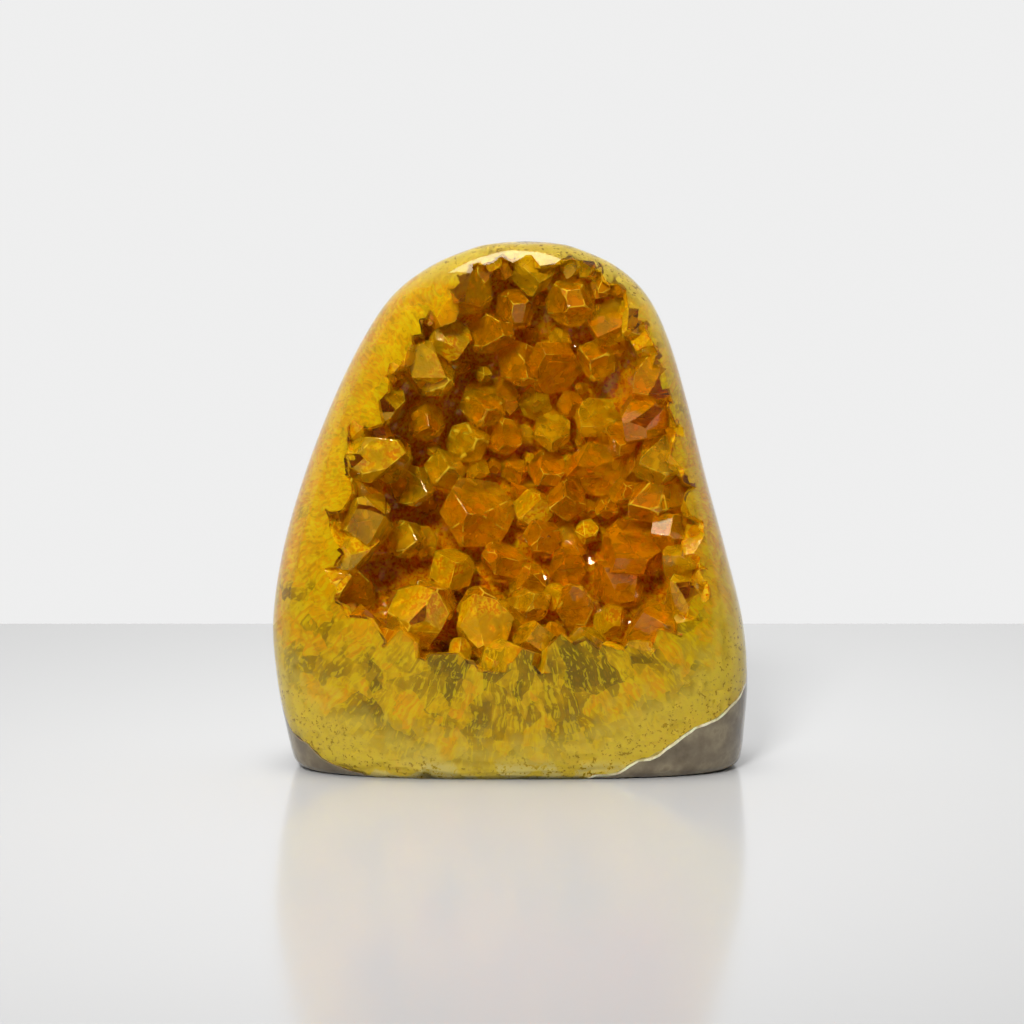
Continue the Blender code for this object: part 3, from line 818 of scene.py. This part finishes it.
def cloudy_quartz():
    """Quartz clouded by fractures and tiny bubbles: columns of unlike clearness, cut across.

    It is bright yellow at the sides and smokier below. Next to the seam and at the base it is
    pale and granular.
    """
    stone = Finish("cloudy_quartz")
    place = stone.places()
    height = stone.node("SeparateXYZ", {"Vector": place}, "Z")
    stray = stone.vector("SUBTRACT", stone.noise(place, 5.0, 1, 0.4, "Color"), (0.5,) * 3)
    stray = stone.vector("MULTIPLY", stray, (COLUMN_BEND,) * 3)
    inside = stone.vector("ADD", stone.vector("SUBTRACT", place, HOLLOW_MIDDLE), stray)
    columns = along_columns(stone, inside, COLUMN_STRETCH)
    cell = stone.node("TexVoronoi", {"Vector": columns, "Scale": 1 / COLUMN_WIDTH}, "Color")
    kind = stone.node("SeparateColor", {"Color": cell}, 0)
    cell = stone.node("TexVoronoi", {"Vector": columns, "Scale": 1 / SPLINTER_WIDTH}, "Color")
    splinter = stone.node("SeparateColor", {"Color": cell}, 0)
    cloud = stone.noise(place, 4.0, 2, 0.6)
    kind, splinter = stone.math("MULTIPLY", kind, 0.44), stone.math("MULTIPLY", splinter, 0.40)
    tone = stone.math("ADD", kind, splinter)
    tone = stone.math("ADD", tone, stone.range(height, 42.0, 20.0, -0.26, 0.20))
    tone = stone.math("ADD", tone, stone.range(cloud, 0.3, 0.7, -0.12, 0.12))
    tint = stone.ramp(tone, (
        (0.00, colour(255, 222, 0)),
        (0.20, colour(255, 200, 0)),
        (0.32, colour(246, 200, 0)),
        (0.42, colour(250, 222, 10)),
        (0.52, colour(228, 196, 0)),
        (0.62, colour(200, 168, 6)),
        (0.84, colour(148, 126, 22)),
    ))
    fibres = stone.noise(along_columns(stone, inside, FIBRE_STRETCH), 0.65, 2, 0.6)
    tint = stone.blend(stone.range(fibres, 0.52, 0.62, 0.0, 0.7), tint, colour(255, 238, 30))
    tint = stone.blend(stone.range(fibres, 0.46, 0.34, 0.0, 0.4), tint, colour(200, 156, 0))
    fleck = stone.noise(place, 0.9, 2, 0.7)
    out = stone.vector("DIVIDE", stone.vector("SUBTRACT", place, QUARTZ_CENTRE), QUARTZ_REACH)
    out = stone.vector("LENGTH", out, output="Value")
    out = stone.math("ADD", out, stone.range(cloud, 0.3, 0.7, -0.04, 0.04))
    tint = stone.blend(stone.range(out, 0.74, 0.93, 0.0, 0.85), tint, colour(255, 240, 124))
    grains = stone.math("MULTIPLY", stone.range(out, 0.86, 0.93), stone.range(fleck, 0.48, 0.53))
    tint = stone.blend(grains, tint, colour(252, 238, 110))
    pits = stone.math("MULTIPLY", stone.range(out, 0.86, 0.93), stone.range(fleck, 0.42, 0.36))
    tint = stone.blend(stone.math("MULTIPLY", pits, 0.8), tint, colour(172, 140, 24))
    patches = stone.range(stone.noise(place, 6.0, 0), 0.46, 0.52)
    crumbs = stone.math("MULTIPLY", stone.range(height, 4.4, 2.2), patches)
    crumbs = stone.math("MULTIPLY", crumbs, stone.range(fleck, 0.36, 0.5))
    tint = stone.blend(crumbs, tint, colour(250, 244, 196))
    stone.surface(Base_Color=tint, Roughness=0.5, Specular_IOR_Level=0.0)
    return stone.material


def root_quartz():
    """The broken inside of the band, seen through the crystals: cloudy amber with yellow grains."""
    root = Finish("root_quartz")
    place = root.places()
    cloud = root.noise(place, 2.4, 2, 0.6)
    tint = root.ramp(cloud, (
        (0.30, colour(226, 130, 6)),
        (0.46, colour(248, 172, 12)),
        (0.58, colour(255, 200, 30)),
        (0.72, colour(255, 224, 80)),
    ))
    root.surface(Base_Color=tint, Roughness=0.5, Specular_IOR_Level=0.0)
    return root.material


rng = random.Random(7)
hollow = Hollow()
crystals = list(large_crystals(hollow, rng))
fill_crystals(hollow, crystals, FILL_CLASSES, rng)
edge_crystals(crystals, random.Random(23))
fill_crystals(hollow, crystals, SMALL_CLASSES, random.Random(19))
for crystal in crystals:
    crystal.sink()
teeth = mouth_crystals(random.Random(31))

core = shape(quartz_extent(OVERLAP))
combine(core, "DIFFERENCE", shape(hollow_form(160, 10, CORE_BEHIND, UNEVEN), 1))
combine(core, "UNION", united(teeth, -TEETH_SKIN))
combine(core, "INTERSECT", shape(cloudy_core()))
finish_piece(core, "cloudy_quartz", [cloudy_quartz(), root_quartz()], 40)
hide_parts("quartz_band")


# Crystal crust
# The crystals that line the hollow, clear quartz turned amber by heat: yellow at their roots and
# orange-brown towards their tips. They are grown together with the clear quartz over the band,
# and those at the mouth are ground flush with it and polished.

def amber_crystal():
    """Clear quartz, amber by its own absorption, hazy and rusty towards the tips.

    The UV map "zone" tells the polished face (0, 0), the hollow's wall (0, 1 to 2), and on the
    crystals the height along each one and its shade, which sets its kind, from rusty through
    plain and olive to golden and grainy.
    """
    clear = Finish("amber_crystal")
    place = clear.places()
    zone = clear.node("UVMap", {}, uv_map="zone")
    split = clear.tree.nodes.new("ShaderNodeSeparateXYZ")
    clear.tree.links.new(zone, split.inputs[0])
    height, mark = split.outputs["X"], split.outputs["Y"]
    on_crystal = clear.range(height, 0.02, 0.10)
    worn = clear.math("MULTIPLY", on_crystal, clear.math("GREATER_THAN", mark, 1.99))
    shade = clear.math("SUBTRACT", mark, clear.math("MULTIPLY", worn, EDGE_MARK))
    on_wall = clear.math("GREATER_THAN", mark, 0.999)
    on_wall = clear.math("MULTIPLY", on_wall, clear.math("SUBTRACT", 1.0, on_crystal))
    at_mouth = clear.math("MULTIPLY", on_wall, clear.range(mark, 1.0, 1.8))

    cloud = clear.noise(place, 2.6, 1, 0.6)
    fine = clear.noise(place, 0.7, 1, 0.7)
    level = clear.math("ADD", height, clear.range(cloud, 0.3, 0.7, -0.2, 0.2))
    zoned = clear.ramp(level, (
        (0.02, colour(255, 236, 110)),
        (0.20, colour(255, 224, 50)),
        (0.50, colour(252, 204, 20)),
        (0.72, colour(246, 172, 6)),
        (0.95, colour(236, 140, 0)),
    ))
    olive = clear.math("MULTIPLY", clear.range(shade, 0.48, 0.56), clear.range(shade, 0.82, 0.74))
    zoned = clear.blend(clear.math("MULTIPLY", olive, 0.7), zoned, colour(244, 198, 20))
    rusty = clear.math("MULTIPLY", clear.range(shade, 0.35, 0.05, 0.0, 0.75), on_crystal)
    zoned = clear.blend(rusty, zoned, colour(228, 148, 2))
    golden = clear.math("MULTIPLY", clear.range(shade, 0.76, 0.84), on_crystal)
    grains = clear.math("MULTIPLY", golden, clear.range(fine, 0.44, 0.56))
    zoned = clear.blend(grains, zoned, colour(254, 200, 16))
    wall = clear.ramp(fine, (
        (0.36, colour(214, 110, 0)),
        (0.48, colour(255, 176, 10)),
        (0.60, colour(255, 222, 50)),
    ))
    zoned = clear.blend(on_crystal, colour(255, 243, 180), zoned)
    zoned = clear.blend(on_wall, zoned, wall)
    # Painted highlight: some worn edges are tinted bright yellow and made hazier, standing in for light
    # shining through the crystals' edges.
    painted_edge_glow = clear.math("MULTIPLY", worn, clear.range(cloud, 0.44, 0.58, 0.0, 0.8))
    zoned = clear.blend(painted_edge_glow, zoned, colour(255, 222, 50))

    haze = clear.range(level, 0.35, 0.95, 0.08, 0.30)
    haze = clear.math("ADD", haze, clear.range(cloud, 0.52, 0.66, 0.0, 0.14))
    haze = clear.math("ADD", haze, clear.math("MULTIPLY", golden, 0.2))
    haze = clear.math("ADD", haze, clear.math("MULTIPLY", painted_edge_glow, 0.25))
    haze = clear.math("MULTIPLY", haze, on_crystal)
    haze = clear.math("ADD", haze, clear.math("MULTIPLY", at_mouth, 0.75), clamp=True)

    ridges = clear.math("SINE", clear.math("MULTIPLY", height, 26.0))
    ridges = clear.math("MULTIPLY", ridges, 0.014)
    grainy = clear.math("ADD", golden, at_mouth, clamp=True)
    relief = clear.math("MULTIPLY", fine, clear.range(grainy, 0, 1, 0.015, 0.2))
    relief = clear.math("ADD", ridges, relief)
    relief = clear.math("MULTIPLY", relief, clear.math("ADD", on_crystal, on_wall, clamp=True))
    clear.surface(
        Base_Color=zoned,
        Roughness=0.0,
        IOR=1.544,
        Specular_Tint=(0.75, 0.66, 0.45, 1.0),
        Transmission_Weight=clear.math("SUBTRACT", 1.0, haze),
        Normal=clear.bump(relief, 1.0, 0.7),
    )
    body = clear.tree.nodes.new("ShaderNodeVolumeAbsorption")
    body.inputs["Color"].default_value = (0.96, 0.82, 0.0, 1.0)
    body.inputs["Density"].default_value = 165.0
    out = clear.tree.nodes["Material Output"]
    clear.tree.links.new(body.outputs[0], out.inputs["Volume"])
    return clear.material


crust = shape(quartz_extent())
combine(crust, "DIFFERENCE", shape(mark_wall(hollow_form(160, 10, 0.0, UNEVEN))))
combine(crust, "UNION", united(crystals + teeth))
combine(crust, "INTERSECT", shape(stone_form(160, 8)))
finish_piece(crust, "amber_crystals", [amber_crystal()], 12)
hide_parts("crystal_crust")


# Studio
# A pale polished floor that ends a little way behind the stone, a plain pale surround that is
# bright behind and dim in front, two soft lights, and the camera a little above the middle.

CAMERA_AIM = Vector((0.0003, -0.0049, 0.0484))
CAMERA_DISTANCE = 0.463
CAMERA_RISE = math.radians(5)
FLOOR_BEHIND = 0.195  # where the floor ends
FLOOR_REACH = 2.0

# How bright the surround is, in two parts that are added: from where to where each one rises, as
# a direction's share that points to the back, and its least and greatest brightness.
SURROUND = (((-0.75, 0.1), (0.06, 0.36)), ((0.06, 0.2), (0.0, 0.50)))


def pale_floor():
    bm = bmesh.new()
    bmesh.ops.create_grid(bm, x_segments=1, y_segments=1, size=FLOOR_REACH)
    bmesh.ops.translate(bm, vec=(0, FLOOR_BEHIND - FLOOR_REACH, 0), verts=bm.verts)
    mesh = bpy.data.meshes.new("pale_floor")
    bm.to_mesh(mesh)
    bm.free()
    floor = bpy.data.objects.new("pale_floor", mesh)
    finish = Finish("pale_floor")
    finish.surface(Base_Color=colour(207, 207, 207), Roughness=0.14, Specular_IOR_Level=0.3)
    mesh.materials.append(finish.material)
    bpy.context.scene.collection.objects.link(floor)


def soft_light(name, place, size, watts, spread):
    light = bpy.data.lights.new(name, "AREA")
    light.shape, light.size, light.energy = "SQUARE", size, watts
    light.spread = math.radians(spread)
    obj = bpy.data.objects.new(name, light)
    obj.location = place
    obj.rotation_euler = (Vector(place) - CAMERA_AIM).to_track_quat("Z", "Y").to_euler()
    bpy.context.scene.collection.objects.link(obj)


pale_floor()
soft_light("key", (-0.18, -0.66, 0.52), 0.16, 0.27, 36)
soft_light("above", (-0.05, -0.04, 0.75), 0.28, 0.46, 80)

world = bpy.data.worlds.new("studio")
world.use_nodes = True
sky = world.node_tree
toward = sky.nodes.new("ShaderNodeTexCoord").outputs["Generated"]
ways = sky.nodes.new("ShaderNodeSeparateXYZ")
sky.links.new(toward, ways.inputs[0])
parts = []
for span, levels in SURROUND:
    part = sky.nodes.new("ShaderNodeMapRange")
    part.interpolation_type = "SMOOTHSTEP"
    for socket, value in zip(("From Min", "From Max", "To Min", "To Max"), (*span, *levels)):
        part.inputs[socket].default_value = value
    sky.links.new(ways.outputs["Y"], part.inputs["Value"])
    parts.append(part)
whole = sky.nodes.new("ShaderNodeMath")
for part, socket in zip(parts, whole.inputs):
    sky.links.new(part.outputs[0], socket)
sky.links.new(whole.outputs[0], sky.nodes["Background"].inputs["Color"])
sky.nodes["Background"].inputs["Strength"].default_value = 1.0
bpy.context.scene.world = world
bpy.context.scene.view_settings.view_transform = "Standard"

lens = bpy.data.cameras.new("camera")
lens.lens, lens.sensor_width, lens.clip_start = 85, 36, 0.01
camera = bpy.data.objects.new("camera", lens)
look = Vector((0, math.cos(CAMERA_RISE), -math.sin(CAMERA_RISE)))
camera.location = CAMERA_AIM - look * CAMERA_DISTANCE
camera.rotation_euler = look.to_track_quat("-Z", "Y").to_euler()
bpy.context.scene.collection.objects.link(camera)
bpy.context.scene.camera = camera
